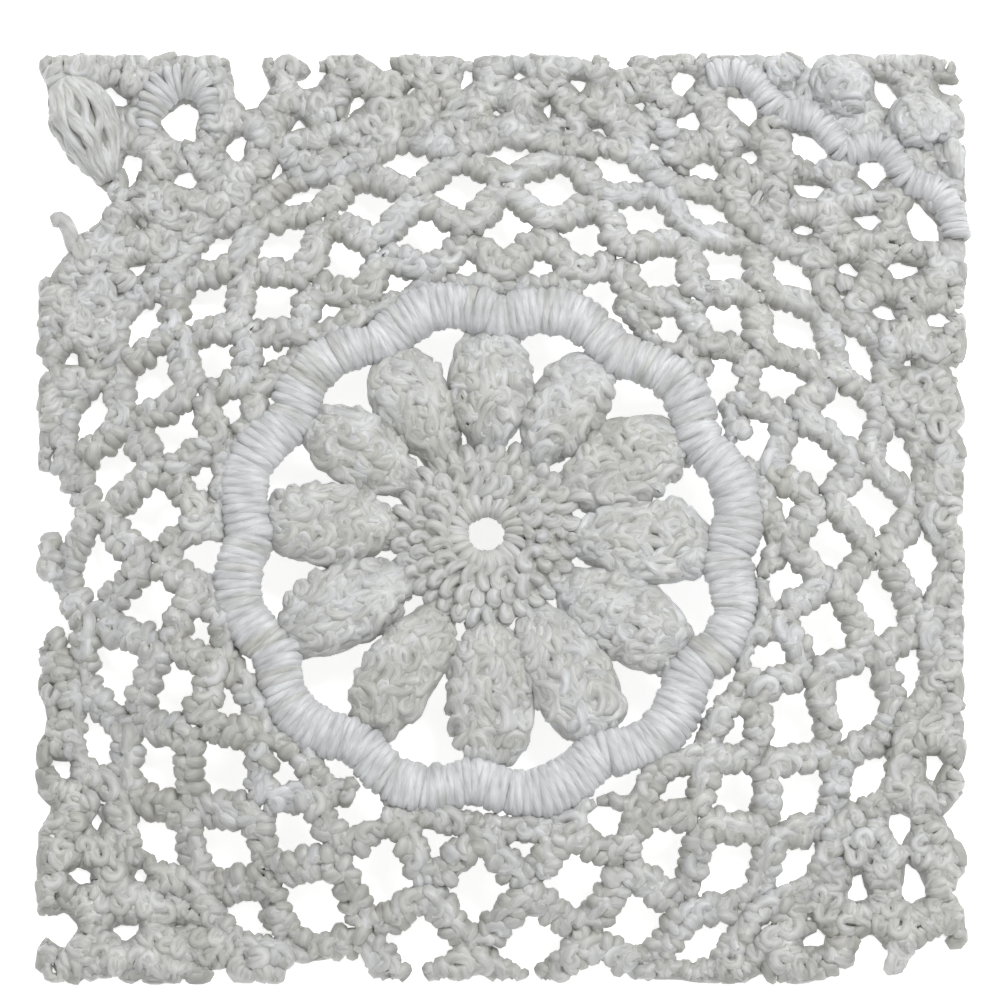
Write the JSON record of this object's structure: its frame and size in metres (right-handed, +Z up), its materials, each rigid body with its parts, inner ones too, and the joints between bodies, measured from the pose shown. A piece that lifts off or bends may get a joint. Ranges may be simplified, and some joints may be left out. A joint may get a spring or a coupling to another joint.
{
  "type": "lace doily",
  "caption": "Thick crochet lace doily piece: an openwork net rising in a low dome, with a padded petal flower and wrapped scalloped cord.",
  "frame": {"origin": "middle of the cloth's outline, on the surface that it lies on", "axes": "+Z up out of the surface, +Y towards the edge with the two corner motifs, +X to the right"},
  "size_m": [0.1228, 0.1245, 0.0132],
  "materials": {
    "net": "off-white plied cotton, matt with a faint sheen",
    "cord": "off-white plied cotton wrapped round a cord",
    "petal": "off-white plied cotton in thick lengthwise strands",
    "centre": "off-white plied cotton in close stitches"
  },
  "bodies": {
    "root": {"net_ground": "net", "ring_cord": "cord", "flower_centre": "centre", "petal_01": "petal", "petal_02": "petal", "petal_03": "petal", "petal_04": "petal", "petal_05": "petal", "petal_06": "petal", "petal_07": "petal", "petal_08": "petal", "petal_09": "petal", "petal_10": "petal", "petal_11": "petal", "petal_12": "petal", "right_cord": "cord", "right_petal_1": "petal", "right_petal_2": "petal", "right_petal_3": "petal", "right_petal_4": "petal", "right_net": "net", "left_cord": "cord", "left_band": "net", "left_leaf": "petal", "left_net": "net"}
  },
  "joints": []
}
